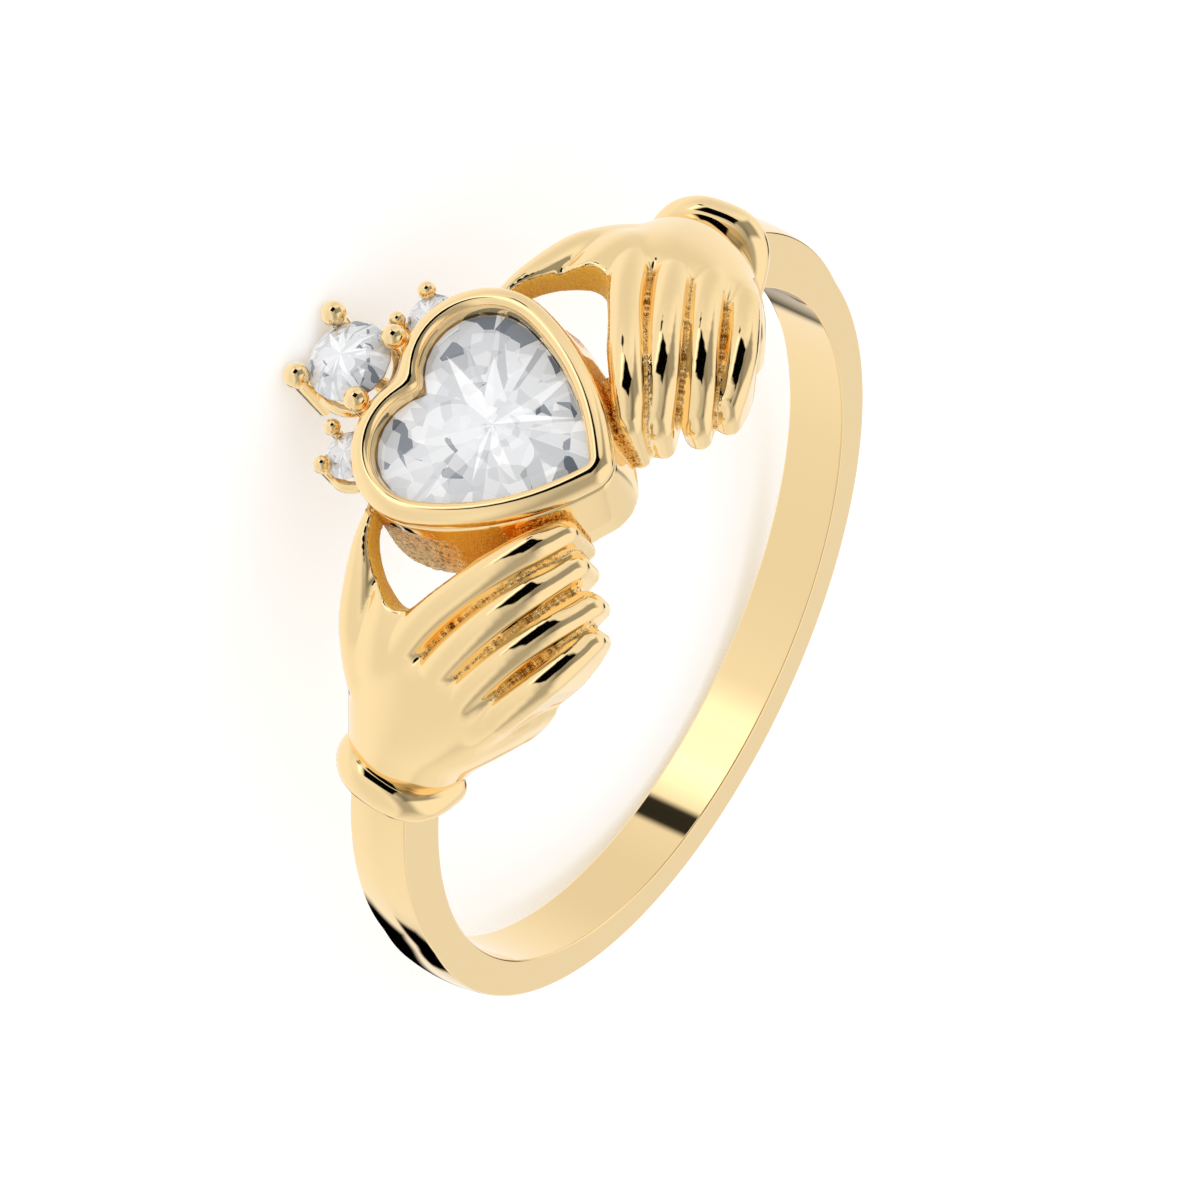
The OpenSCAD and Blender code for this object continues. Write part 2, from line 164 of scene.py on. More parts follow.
def mirrored(obj, name):
    pick(obj)
    bpy.ops.object.duplicate()
    twin = bpy.context.object
    twin.name = name
    twin.scale = (-1, 1, 1)
    bpy.ops.object.transform_apply(location=False, rotation=False, scale=True)
    bpy.ops.object.mode_set(mode="EDIT")
    bpy.ops.mesh.select_all(action="SELECT")
    bpy.ops.mesh.normals_make_consistent(inside=False)
    bpy.ops.object.mode_set(mode="OBJECT")
    return twin


def coordinates(obj):
    co = np.zeros(len(obj.data.vertices) * 3)
    obj.data.vertices.foreach_get("co", co)
    return co.reshape(-1, 3)


def setCoordinates(obj, co):
    obj.data.vertices.foreach_set("co", co.ravel())
    obj.data.update()


def normals(obj):
    n = np.zeros(len(obj.data.vertices) * 3)
    obj.data.vertex_normals.foreach_get("vector", n)
    return n.reshape(-1, 3)


def ramp(x, low, high):
    t = np.clip((x - low) / (high - low), 0, 1)
    return t * t * (3 - 2 * t)


def hollowness(obj, rounds):
    # how far each point lies under the evened-out surface, in millimetres
    co = coordinates(obj)
    edges = np.zeros(len(obj.data.edges) * 2, int)
    obj.data.edges.foreach_get("vertices", edges)
    a, b = edges[::2], edges[1::2]
    count = np.bincount(a, minlength=len(co)) + np.bincount(b, minlength=len(co))
    even = co.copy()
    for _ in range(rounds):
        total = np.stack([np.bincount(a, even[b, k], len(co)) + np.bincount(b, even[a, k], len(co))
                          for k in range(3)], 1)
        even = 0.5 * even + 0.5 * total / np.maximum(count, 1)[:, None]
    return ((even - co) * normals(obj)).sum(1)


# mask of the cast skin, which the gold's shader also covers with painted shade and painted orange reflection
def setGrainAndPaintedLight(obj, mask):
    layer = obj.data.attributes.new("grain", "FLOAT", "POINT")
    layer.data.foreach_set("value", mask.astype(np.float32))


def roughen(obj, mask, depth, size):
    # cast skin texture as real relief where the mask is
    co, n = coordinates(obj), normals(obj)
    for i in np.nonzero(mask > 0.02)[0]:
        p = Vector(co[i]) / size
        co[i] += n[i] * mask[i] * depth * noise.turbulence(p, 2, False)
    setCoordinates(obj, co)


def keepOffFinger(obj):
    # nothing reaches into the finger hole
    co = coordinates(obj)
    r = np.hypot(co[:, 0], co[:, 1])
    low = (r < holeR) & (r > 0.5 * holeR)
    co[low, :2] *= (holeR / r[low])[:, None]
    setCoordinates(obj, co)


def finishPiece(obj, material, slot, *nodes):
    obj.matrix_world = toRest
    pick(obj)
    bpy.ops.object.transform_apply(location=True, rotation=True, scale=True)
    obj.data.materials.clear()
    obj.data.materials.append(material)
    if "order" in obj.data.attributes:
        obj.data.attributes.remove(obj.data.attributes["order"])
    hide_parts(*nodes)
    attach(obj, "root")
    print(obj.name, len(obj.data.polygons), "faces")


# Materials

class Socket:
    # wraps a node's output, so that shader maths can be written as an expression
    def __init__(self, tree, out):
        self.tree = tree
        self.out = out

    def node(self, kind, settings=None, inputs=None, output=0):
        made = self.tree.nodes.new(kind)
        for key, value in (settings or {}).items():
            setattr(made, key, value)
        for key, value in (inputs or {}).items():
            if isinstance(value, Socket):
                self.tree.links.new(value.out, made.inputs[key])
            else:
                made.inputs[key].default_value = value
        return Socket(self.tree, made.outputs[output])

    def maths(self, operation, *values):
        return self.node("ShaderNodeMath", {"operation": operation}, dict(enumerate(values)))

    def __add__(self, other):
        return self.maths("ADD", self, other)

    def __radd__(self, other):
        return self.maths("ADD", other, self)

    def __sub__(self, other):
        return self.maths("SUBTRACT", self, other)

    def __rsub__(self, other):
        return self.maths("SUBTRACT", other, self)

    def __mul__(self, other):
        return self.maths("MULTIPLY", self, other)

    def __rmul__(self, other):
        return self.maths("MULTIPLY", other, self)

    def __truediv__(self, other):
        return self.maths("DIVIDE", self, other)

    def __gt__(self, other):
        return self.maths("GREATER_THAN", self, other)

    def __lt__(self, other):
        return self.maths("LESS_THAN", self, other)

    def step(self, low, high):
        return self.node("ShaderNodeMapRange", {"interpolation_type": "SMOOTHSTEP"},
                         {"Value": self, "From Min": low, "From Max": high})

    def blend(self, other, share):
        # a colour that gives way to another one
        return self.node("ShaderNodeMix", {"data_type": "RGBA"}, {"Factor": share, 6: self, 7: other}, 2)

    def tint(self, colourA, colourB):
        # from one colour to the other as this value goes from 0 to 1
        return self.node("ShaderNodeMix", {"data_type": "RGBA"},
                         {"Factor": self, 6: colourA, 7: colourB}, 2)


def newMaterial(name, settings):
    material = bpy.data.materials.new(name)
    material.use_nodes = True
    tree = material.node_tree
    shader = tree.nodes["Principled BSDF"]
    for key, value in settings.items():
        shader.inputs[key].default_value = value
    start = Socket(tree, None)
    coords = start.node("ShaderNodeTexCoord", output=3)
    return material, tree, shader, coords


def feed(tree, shader, **links):
    for key, value in links.items():
        tree.links.new(value.out, shader.inputs[key.replace("_", " ")])


goldLook = {
    "colour": (1.0, 0.755, 0.4, 1),       # polished 10 karat gold
    "deepColour": (0.95, 0.55, 0.13, 1),  # cast skin in the grooves, coloured deeper orange as painted shade
    "wallColour": (1.0, 0.57, 0.05, 1),   # painted orange reflection on the walls of the openings
    "pitColour": (0.28, 0.13, 0.03, 1),   # painted shade in the pits of the cast skin
    "polish": 0.035,
    "cloudScale": 900.0,        # broad unevenness of the polish
    "castRoughness": 0.22,
    "grainSize": 0.00007,
    "grainBump": 0.00006,
    "castFrom": (0.05, 0.5),    # mask values over which the polish turns into cast skin with painted shade
    "wallFrom": (0.62, 0.95),   # and the cast skin into the painted orange reflection on the walls of the openings
    "wallScatter": 0.9,         # the walls scatter light as well as mirroring it, which shows their painted orange reflection
    "pitShare": 0.85,
}


def makeGold():
    look = goldLook
    material, tree, shader, coords = newMaterial("polishedGold", {"IOR": 1.5})
    grain = coords.node("ShaderNodeAttribute", {"attribute_name": "grain"}, output=2)
    cloud = coords.node("ShaderNodeTexNoise", inputs={
        "Vector": coords, "Scale": look["cloudScale"], "Detail": 2.0})
    speckle = coords.node("ShaderNodeTexNoise", inputs={
        "Vector": coords, "Scale": 1 / look["grainSize"], "Detail": 3.0, "Roughness": 0.6})
    mask = grain.step(*look["castFrom"])
    wall = grain.step(*look["wallFrom"])
    pits = coords.node("ShaderNodeTexNoise", inputs={
        "Vector": coords, "Scale": 0.6 / look["grainSize"], "Detail": 2.0, "Roughness": 0.7})
    # the grooves' cast skin is tinted orange: its own matte skin, with painted shade
    inGroove = mask * (0.2 + 0.8 * speckle.step(0.42, 0.56))
    cast = inGroove.tint(look["colour"], look["deepColour"])
    # the walls of the openings get a painted orange reflection
    walled = cast.blend(look["wallColour"], wall * (0.75 + 0.25 * speckle))
    # dark spots: painted shade in the cast skin's pits
    paintedPitShade = mask * (1 - wall) * pits.step(0.52, 0.6) * look["pitShare"]
    colour = walled.blend(look["pitColour"], paintedPitShade)
    castRough = mask * (1 + wall) * look["castRoughness"] * (0.4 + 1.2 * speckle)
    rough = look["polish"] * (0.7 + 0.6 * cloud) + castRough
    bump = coords.node("ShaderNodeBump", inputs={
        "Strength": mask, "Distance": look["grainBump"], "Height": speckle})
    metallic = 1 - look["wallScatter"] * wall
    feed(tree, shader, Base_Color=colour, Roughness=rough, Metallic=metallic, Normal=bump)
    return material


# the stones' light and dark facets are painted reflections
paintedStoneReflections = {
    "light": (0.98, 0.985, 1.0, 1),
    "dark": (0.16, 0.185, 0.22, 1),
    "starReach": 0.62,      # ends of the inner facets, as shares of the radius
    "ringReach": 1.0,
    "ringArms": 1.6,        # facets of the outer star to one of the inner
    "shards": 3.2,          # rows of shards towards the girdle
    "chips": 6.5,           # small facets from the middle to the girdle
    "darkFrom": 0.38,       # nearer to the middle no shard is black
    "darkShare": 0.6,
    "facetLean": 0.3,
}


def kites(x, angle, far, count, turn, reach, seed):
    # a painted star of kite-shaped reflections in the inner facets: where it is, and how bright each half of
    # a kite is
    uneven = angle.maths("SINE", angle * 3 + turn) * 0.3 + angle.maths("SINE", angle * 2 - turn) * 0.25
    w = angle * (count / (2 * math.pi)) + uneven + turn
    index = w.maths("FLOOR", w)
    across = w.maths("FRACT", w) - 0.5
    side = across > 0
    t = across.maths("ABSOLUTE", across) * 2
    bright = x.node("ShaderNodeTexWhiteNoise", {"noise_dimensions": "2D"}, {
        "Vector": x.node("ShaderNodeCombineXYZ", inputs={0: index + seed, 1: side * 3.7})})
    longer = x.node("ShaderNodeTexWhiteNoise", {"noise_dimensions": "1D"}, {"W": index + seed + 51})
    end = (0.75 + 0.9 * longer) * reach / (1 + 1.5 * t)
    return far < end, bright


def makeStone(name, middle, radius, arms=8):
    # painted reflections of inner facets that run out from the point of the cut, with small shards towards
    # the girdle
    look = paintedStoneReflections
    material, tree, shader, coords = newMaterial(name, {"Roughness": 0.03, "IOR": 2.1})
    spot = toRest @ Vector(middle)
    local = coords.node("ShaderNodeVectorMath", {"operation": "SUBTRACT"}, {0: coords, 1: tuple(spot)})
    turned = coords.node("ShaderNodeMapping", {"vector_type": "POINT"}, {
        "Vector": local, "Rotation": (-restTurn, 0, 0), "Scale": (1000, 1000, 1000)})
    x = coords.node("ShaderNodeSeparateXYZ", inputs={0: turned})
    z = Socket(tree, x.out.node.outputs[2])
    angle = x.maths("ARCTAN2", z, x)
    far = x.maths("SQRT", x * x + z * z) / radius
    inStar, starTone = kites(x, angle, far, arms, 0, look["starReach"], 0)
    inRing, ringTone = kites(x, angle, far, round(arms * look["ringArms"]), 0.3, look["ringReach"], 23)
    plane = coords.node("ShaderNodeCombineXYZ", inputs={
        0: angle * (arms / 3.1), 1: x.maths("LOGARITHM", far + 0.1, 2.0) * look["shards"]})
    shards = coords.node("ShaderNodeTexVoronoi", {"voronoi_dimensions": "2D"}, {
        "Vector": plane, "Scale": 1.0}, 1)
    shardTone = coords.node("ShaderNodeSeparateColor", inputs={0: shards})
    flat = coords.node("ShaderNodeCombineXYZ", inputs={0: x, 1: z})
    chips = coords.node("ShaderNodeTexVoronoi", {"voronoi_dimensions": "2D"}, {
        "Vector": flat, "Scale": look["chips"] / radius}, 1)
    chipTone = coords.node("ShaderNodeSeparateColor", inputs={0: chips})
    star = 0.66 + 0.36 * starTone
    ringBelt = (0.45 + 0.55 * ringTone) * (0.8 + 0.2 * shardTone)
    border = 0.4 + 0.4 * shardTone.step(0.1, 0.75) + 0.34 * (chipTone - 0.45)
    outer = inRing * ringBelt + (1 - inRing) * border
    tone = inStar * star + (1 - inStar) * outer
    tone = tone - look["darkShare"] * (chipTone < 0.3) * (shardTone < 0.4) * (far > look["darkFrom"])
    # the colour holds the painted reflections in light and dark
    colour = tone.tint(look["dark"], look["light"])
    tilt = coords.node("ShaderNodeVectorMath", {"operation": "SUBTRACT"}, {0: shards, 1: (0.5, 0.5, 0.5)})
    lean = coords.node("ShaderNodeVectorMath", {"operation": "SCALE"}, {
        0: tilt, "Scale": look["facetLean"]})
    geometry = coords.node("ShaderNodeNewGeometry", output=1)
    summed = coords.node("ShaderNodeVectorMath", {"operation": "ADD"}, {0: geometry, 1: lean})
    facet = coords.node("ShaderNodeVectorMath", {"operation": "NORMALIZE"}, {0: summed})
    feed(tree, shader, Base_Color=colour, Normal=facet)
    return material


gold = makeGold()
print("gold ready")

# Band

band = {
    "width": 1.54,
    "thickness": 1.02,        # lower shank
    "shoulderShift": 1.1,     # outside set towards the head
    "dome": 0.08,             # crown of the outer face
    "chamfer": 0.05,
    "shoulderBlend": 0.0004,  # how softly the shoulders run into the lower shank
    "cuffAngle": 50.5,
    "steps": 180,
}
shankR = holeR + band["thickness"]


def bandProfile():
    # round the section: the inside, one side, the domed outside, and the other side mirrored
    half, c = band["width"] / 2, band["chamfer"]
    flat, edgeR = half - c, shankR - band["dome"]
    inside = [(holeR, u * flat) for u in (-1, -0.85, 0, 0.85, 1)]
    side = [(holeR + c * (1 - math.cos(a)), flat + c * math.sin(a)) for a in (0.5, 1.05)]
    side += [(holeR + c, half), (holeR + 2 * c, half), (edgeR - 2 * c, half), (edgeR - c, half)]
    side += [(edgeR - c + c * math.sin(a), flat + c * math.cos(a)) for a in (0.5, 1.05)]
    outside = [(shankR - band["dome"] * u * u, u * flat) for u in np.linspace(1, -1, 9)]
    return inside + side + outside + [(r, -z) for r, z in side[::-1]]


def shoulder(angle):
    # how far the outside stands out beyond the lower shank
    a, shift = math.radians(angle), band["shoulderShift"]
    shifted = shift * math.cos(a) + math.sqrt(shankR ** 2 - (shift * math.sin(a)) ** 2) - shankR
    return 0.5 * (shifted + math.sqrt(shifted ** 2 + band["shoulderBlend"]))


def makeBand():
    start = band["cuffAngle"] - 2
    rings = []
    for i in range(band["steps"] + 1):
        angle = start + (360 - 2 * start) * i / band["steps"]
        grow = shoulder(angle)
        ring = []
        for r, z in bandProfile():
            # the inside keeps to the finger hole
            share = min(1, max(0, (r - holeR) / band["thickness"] * 1.6 - 0.3))
            ring.append(onRing(angle, r + grow * share, z))
        rings.append(ring)
    obj = loft("band", rings)
    applyModifier(obj, "WEIGHTED_NORMAL", weight=80)
    setGrainAndPaintedLight(obj, np.zeros(len(obj.data.vertices)))
    finishPiece(obj, gold, "gold", "ring_casting")


makeBand()

# Heart

heart = {
    "width": 5.56,       # along the middle of the rim
    "middle": -0.06,     # along the finger
    "rimR": 0.36,
    "rimY": holeR + 2.2,
    "lip": 0.22,
    "softening": 3,      # how often the cleft and the tip are evened out
    "steps": 44,         # points on one side of the heart
    # cast skin values that also set painted shade, and in the cup painted orange reflection
    "cupGrain": 0.74,
    "skirtGrain": 0.42,
    "skirtVoxel": 0.05,
    "skirtSmoothing": 8,
    "grainDepth": 0.014,
    "grainSize": 0.12,
}
lobeX, lobeR = 0.2 * heart["width"], 0.3 * heart["width"]
lobeZ = heart["middle"] - 0.2 * heart["width"]
tipR, tipZ = 0.063 * heart["width"], heart["middle"] + 0.433 * heart["width"]
sideR = 1.1 * heart["width"]
tipEnd = tipZ + tipR


def heartArcs():
    # the lobe, the long side and the tip, each as middle, radius, first and last bearing
    lobe, tip = np.array([lobeX, lobeZ]), np.array([0, tipZ])
    span = tip - lobe
    length = np.linalg.norm(span)
    along = ((sideR - lobeR) ** 2 - (sideR - tipR) ** 2 + length ** 2) / (2 * length)
    across = math.sqrt((sideR - lobeR) ** 2 - along ** 2)
    side = lobe + along * span / length + across * np.array([-span[1], span[0]]) / length
    first = math.atan2(lobe[0] - side[0], side[1] - lobe[1])
    last = math.atan2(tip[0] - side[0], side[1] - tip[1])
    return [(lobe, lobeR, None, first), (side, sideR, first, last), (tip, tipR, last, math.pi)]


def heartHalf(d, steps):
    points = []
    for (middle, r, first, last), share in zip(heartArcs(), (0.55, 0.27, 0.18)):
        n = max(2, round(steps * share))
        if first is None:
            first = -math.asin(lobeX / (r + d))
        for i in range(0 if not points else 1, n + 1):
            a = first + (last - first) * i / n
            points.append(middle + (r + d) * np.array([math.sin(a), -math.cos(a)]))
    return points


def heartOutline(d, steps=None, soften=0):
    half = heartHalf(d, steps or heart["steps"])
    full = half + [np.array([-p[0], p[1]]) for p in half[-2:0:-1]]
    full = np.array(full)
    for _ in range(soften):
        full = 0.5 * full + 0.25 * (np.roll(full, 1, 0) + np.roll(full, -1, 0))
    return full


def heartRing(y, d, s=1.0, z=0.0, steps=None, soften=0):
    return [Vector((p[0] * s, y, z + (p[1] - z) * s)) for p in heartOutline(d, steps, soften)]


cupRows = [  # height and size as shares of the rim's
    [-0.02, 0.5], [0.2, 0.6], [0.4, 0.71], [0.6, 0.83], [0.8, 0.95]]
skirtRows = [  # height share, set out as a share of the heart's width, and size towards the tip
    [0, 0.098, 0.85], [0.15, 0.099, 0.925], [0.3, 0.098, 0.97], [0.55, 0.065, 1], [0.8, 0.02, 1],
    [0.92, -0.01, 1]]
skirtBack = -0.39 * heart["width"]


def makeRim():
    # the rolled rim, the cup down to the finger, and the lip round the stone
    rimR, rimY, lip = heart["rimR"], heart["rimY"], heart["lip"]

    def ring(y, d, s=1.0, z=0.0):
        return heartRing(y, d, s, z, soften=heart["softening"])

    outer = [ring(rimY + rimR * math.sin(a), rimR * math.cos(a))
             for a in np.radians(np.linspace(88, -38, 15))]
    cup = [ring(holeR + (rimY - holeR) * h, rimR * (0.75 + 0.2 * s) - 0.08 * (s > 0.9), s, tipEnd)
           for h, s in smoothRows(cupRows, 4)[::-1]]
    floor = [ring(holeR + 0.02, 0.0, 0.38, tipEnd - 0.5), ring(rimY - 1.1, 0.0, 0.72, tipEnd - 0.5)]
    wall = [ring(y, -lip) for y in (rimY - rimR - 0.1, rimY - 0.25, rimY - 0.12)]
    inner = [ring(rimY + rimR * math.sin(a), -lip * math.cos(a))
             for a in np.radians(np.linspace(0, 80, 9))]
    obj = loft("bezel", outer + cup + floor + wall + inner, closed=True)
    co = coordinates(obj)
    # cast skin in the cup, with painted shade and painted orange reflection
    setGrainAndPaintedLight(obj, heart["cupGrain"] * ramp(rimY - rimR - co[:, 1], 0.15, 0.45) * (co[:, 2] < 1.2))
    return obj


def skirtRing(h, out, shrink):
    # the rim's outline beside the lobes, which spreads and shrinks beside the tip
    rimR, rimY = heart["rimR"], heart["rimY"]
    near = heartOutline(0.9 * rimR, soften=2)
    spread = ramp(near[:, 1], -0.17 * heart["width"], 0.045 * heart["width"])
    d = 0.9 * rimR + out * heart["width"]
    far = heartOutline(d, soften=2) * shrink
    far[:, 1] += (tipEnd + rimR) - (tipEnd + d) * shrink
    ring = []
    for (x, z), (farX, farZ), share in zip(near, far, spread):
        x, z = x + (farX - x) * share, z + (farZ - z) * share
        foot = math.sqrt(holeR ** 2 - min(abs(x), 4) ** 2)
        ring.append(Vector((x, foot + (rimY - foot) * h, z)))
    return ring


def makeSkirt():
    # the flared wall under the rim, from the sides of the heart round its tip
    obj = loft("skirt", [skirtRing(*row) for row in smoothRows(skirtRows, 5)])
    pick(obj)
    bpy.ops.object.mode_set(mode="EDIT")
    bpy.ops.mesh.select_all(action="SELECT")
    bpy.ops.mesh.bisect(plane_co=(0, 0, skirtBack), plane_no=(0, 0, 1), use_fill=True, clear_inner=True)
    bpy.ops.object.mode_set(mode="OBJECT")
    applyModifier(obj, "TRIANGULATE")
    applyModifier(obj, "REMESH", mode="VOXEL", voxel_size=heart["skirtVoxel"], use_smooth_shade=True)
    applyModifier(obj, "SMOOTH", factor=0.5, iterations=heart["skirtSmoothing"])
    co = coordinates(obj)
    cast = ramp(heart["rimY"] - 0.45 - co[:, 1], 0, 0.35) * ramp(-co[:, 2], -0.9, 0.3)
    roughen(obj, cast, heart["grainDepth"], heart["grainSize"])
    # cast skin on the skirt's lower part, with painted shade
    setGrainAndPaintedLight(obj, heart["skirtGrain"] * cast)
    return obj


rim = makeRim()
skirt = makeSkirt()
skirtTree = BVHTree.FromObject(skirt, bpy.context.evaluated_depsgraph_get())
print("bezel ready")

# Hands

hand = {
    "height": 2.4,        # knuckles above the finger
    "reach": 4.2,         # along the finger, to the little finger's side
    "fingerW": 0.97,
    "fullness": 0.87,     # below 1 the fingers have flatter crests
    "footW": 0.8,         # a finger's width down at the hole, as a share of its own
    "footAhead": 0.85,    # how far a fingertip's foot follows its rounding
    "tipBearings": [15, 30, 45, 60, 72, 82],
    "tipSlope": 0.6,
    "voxel": 0.045,
    "smoothing": 10,
    "knuckleRounds": 90,
    "gapRounds": 40,
    "grooveRounds": 26,
    "groove": (0.012, 0.045),  # depths over which the polish turns into cast skin with painted shade
    "nearSkirt": 0.3,     # reach of the cast skin and painted shade round the skirt
    "nearGap": 0.22,      # and of the painted orange reflection on the walls round the gap
    "gapSoft": 0.3,       # reach over which the gap's edges are evened out
    "grainDepth": 0.03,
    "grainSize": 0.09,
}
knuckleR = holeR + hand["height"]
degPerMm = 180 / math.pi / knuckleR
indexRows = [  # angle, place along the finger, crest as a share of the knuckles' height, half width
    [34, -0.06, 0.93, 0.5], [28, 0.04, 1.01, 0.5], [23, 0.16, 1.04, 0.5], [17, 0.345, 1.05, 0.47],
    [12, 0.5, 0.98, 0.42], [8.5, 0.585, 0.83, 0.37]]
middleRows = [
    [37, 0.14, 0.9, 0.48], [30, 0.27, 1, 0.48], [23.3, 0.43, 1, 0.46], [17, 0.575, 0.87, 0.46],
    [11.8, 0.655, 0.62, 0.46]]
ringRows = [
    [39, 0.33, 0.88, 0.47], [33, 0.435, 0.95, 0.46], [26, 0.6, 0.88, 0.44], [20, 0.74, 0.69, 0.43],
    [15.8, 0.81, 0.45, 0.42]]
littleRows = [
    [41, 0.42, 0.7, 0.4], [35, 0.61, 0.83, 0.46], [28.5, 0.79, 0.76, 0.43], [24, 0.868, 0.6, 0.41],
    [20.3, 0.898, 0.42, 0.4]]
thumbRows = [
    [43, -0.06, 0.7, 0.56], [37, -0.21, 0.82, 0.6], [30.5, -0.325, 0.9, 0.54], [24, -0.4, 0.91, 0.45],
    [19, -0.452, 0.88, 0.36], [14, -0.455, 0.83, 0.32], [8, -0.425, 0.73, 0.3]]
gapRows = [  # cut between thumb and fingers: angle, and place along the finger at its bottom and top
    [13, -0.49, -0.46], [18.2, -0.46, -0.43], [20.7, -0.41, -0.382], [23.6, -0.31, -0.277],
    [25.4, -0.2, -0.17], [26, -0.13, -0.105], [25.5, -0.055, -0.034], [24.2, 0, 0.02],
    [22, 0.07, 0.08], [18.6, 0.18, 0.186], [14, 0.3, 0.3]]
webRows = [  # floors of the grooves, beside the bezel and between the fingers, in the fingers' terms
    [[15.5, 0.28, 0.5, 0.3], [12, 0.39, 0.54, 0.34], [9.8, 0.48, 0.46, 0.3]],
    [[33, 0.02, 0.85, 0.36], [29.4, 0.107, 0.83, 0.38], [25, 0.238, 0.8, 0.38],
     [20.7, 0.362, 0.76, 0.38], [16.8, 0.476, 0.67, 0.36], [14, 0.565, 0.55, 0.34]],
    [[36, 0.24, 0.8, 0.36], [32.5, 0.312, 0.79, 0.38], [27.8, 0.433, 0.74, 0.38],
     [23.3, 0.562, 0.62, 0.36], [20, 0.64, 0.46, 0.34]],
    [[37, 0.5, 0.68, 0.36], [34, 0.56, 0.67, 0.38], [30, 0.643, 0.6, 0.36], [26.5, 0.73, 0.46, 0.34],
     [24.5, 0.77, 0.36, 0.32]]]
hollowRows = [  # cut under thumb and palm: angle, ends along the finger, crest and thickness above it
    [4, -0.9, -0.3, 0.62, 0.88], [8, -0.9, -0.3, 0.74, 0.88], [14, -0.9, -0.3, 0.85, 0.88],
    [19, -0.9, -0.12, 0.9, 0.88], [24, -0.9, 0.03, 0.94, 0.9], [30, -0.9, 0.04, 0.95, 0.93],
    [35.5, -0.9, 0, 0.95, 0.95]]
backRows = [  # back of the hand: angle, ends along the finger, and height share
    [band["cuffAngle"], -0.36, 0.33, 0.76], [46.5, -0.375, 0.435, 0.81], [43, -0.405, 0.56, 0.88],
    [39, -0.44, 0.69, 0.94], [35.5, -0.475, 0.77, 0.98], [32.5, -0.49, 0.8, 0.97], [30.3, -0.49, 0.79, 0.89],
    [28.3, -0.46, 0.79, 0.76], [26, -0.43, 0.79, 0.58], [24, -0.4, 0.78, 0.42]]
skinRows = [  # skin between thumb and index finger, in the same terms
    [39.5, -0.37, 0.3, 0.78], [35, -0.445, 0.28, 0.93], [31, -0.47, 0.25, 0.97], [27, -0.46, 0.2, 0.96],
    [23, -0.44, 0.16, 0.94], [20, -0.43, 0.14, 0.91]]


def boxy(x, power):
    return math.copysign(abs(x) ** power, x)


def fingerRing(place, direction, w, crest, ahead=0.0):
    side = np.array([-direction[1], direction[0]])
    full = hand["fullness"]
    arch = [(w * boxy(math.cos(a), full), crest - w * (1 - boxy(math.sin(a), full)), ahead)
            for a in np.linspace(0, math.pi, 21)]
    footW, footAhead = hand["footW"] * w, hand["footAhead"] * ahead
    outline = [(footW, holeR, footAhead)] + arch + [(-footW, holeR, footAhead)]
    ring = []
    for across, r, forward in outline:
        c = place + side * across + direction * forward
        ring.append(onRing(c[0] * degPerMm, r, c[1]))
    return ring


def makeFinger(name, rows, roundEnd=True):
    rows = smoothRows(rows, 5)
    places = [np.array([row[0] / degPerMm, row[1] * hand["reach"]]) for row in rows]
    rings = []
    for i, row in enumerate(rows):
        step = places[min(i + 1, len(rows) - 1)] - places[max(i - 1, 0)]
        direction = step / np.linalg.norm(step)
        w, crest = row[3] * hand["fingerW"], holeR + row[2] * hand["height"]
        rings.append(fingerRing(places[i], direction, w, crest))
    if roundEnd:
        slope = (rows[-1][2] - rows[-2][2]) * hand["height"] / np.linalg.norm(places[-1] - places[-2])
        for a in np.radians(hand["tipBearings"]):
            ahead = w * math.sin(a)
            low = crest + hand["tipSlope"] * slope * ahead - w * (1 - math.cos(a))
            rings.append(fingerRing(places[-1], direction, w * math.cos(a), low, ahead))
    return loft(name, rings)


def backRing(row):
    # an arch, fuller on the little finger's side
    angle, z0, z1, height = row
    top = holeR + height * hand["height"]
    ring = []
    for a in np.linspace(0, math.pi, 33):
        u = (1 - math.cos(a)) / 2
        v = max(0, math.sin(a)) ** (0.62 if u > 0.5 else 0.92)
        ring.append(onRing(angle, holeR + (top - holeR) * v, (z0 + (z1 - z0) * u) * hand["reach"]))
    return ring


def hollowRing(row):
    angle, z0, z1, height, thick = row
    top = holeR + height * hand["height"] - thick
    corners = ((0.8 * holeR, z0), (top, z0), (top, z1), (0.8 * holeR, z1))
    return [onRing(angle, r, z * hand["reach"]) for r, z in corners]


def smoothWhere(obj, weights, rounds):
    # evens out only the stretch that has weight
    group = obj.vertex_groups.new(name="soft")
    for i in np.nonzero(weights > 0.01)[0]:
        group.add([int(i)], float(weights[i]), "REPLACE")
    applyModifier(obj, "SMOOTH", factor=0.5, iterations=rounds, vertex_group="soft")
    obj.vertex_groups.clear()


def ringAngles(co):
    return np.degrees(np.arctan2(co[:, 0], co[:, 1]))


grooveStarts = [  # places along the finger, and the angles at which the grooves start there
    [-0.3, 0.45, 1.31, 2.35, 3.3],
    [31.5, 30.0, 33.0, 34.5, 36.0]]


def knuckleWeights(obj):
    # the back of the hand, up to where each groove starts
    co = coordinates(obj)
    start = np.interp(co[:, 2], *grooveStarts)
    return ramp(ringAngles(co) - start, 0, 1.5) * ramp(np.hypot(co[:, 0], co[:, 1]), holeR + 0.4, holeR + 0.8)


def nearness(obj, tree, reach):
    # 1 on the other surface, and 0 where it is further away than reach
    away = [tree.find_nearest(Vector(p), reach)[3] for p in coordinates(obj)]
    return np.array([0 if d is None else 1 - d / reach for d in away])


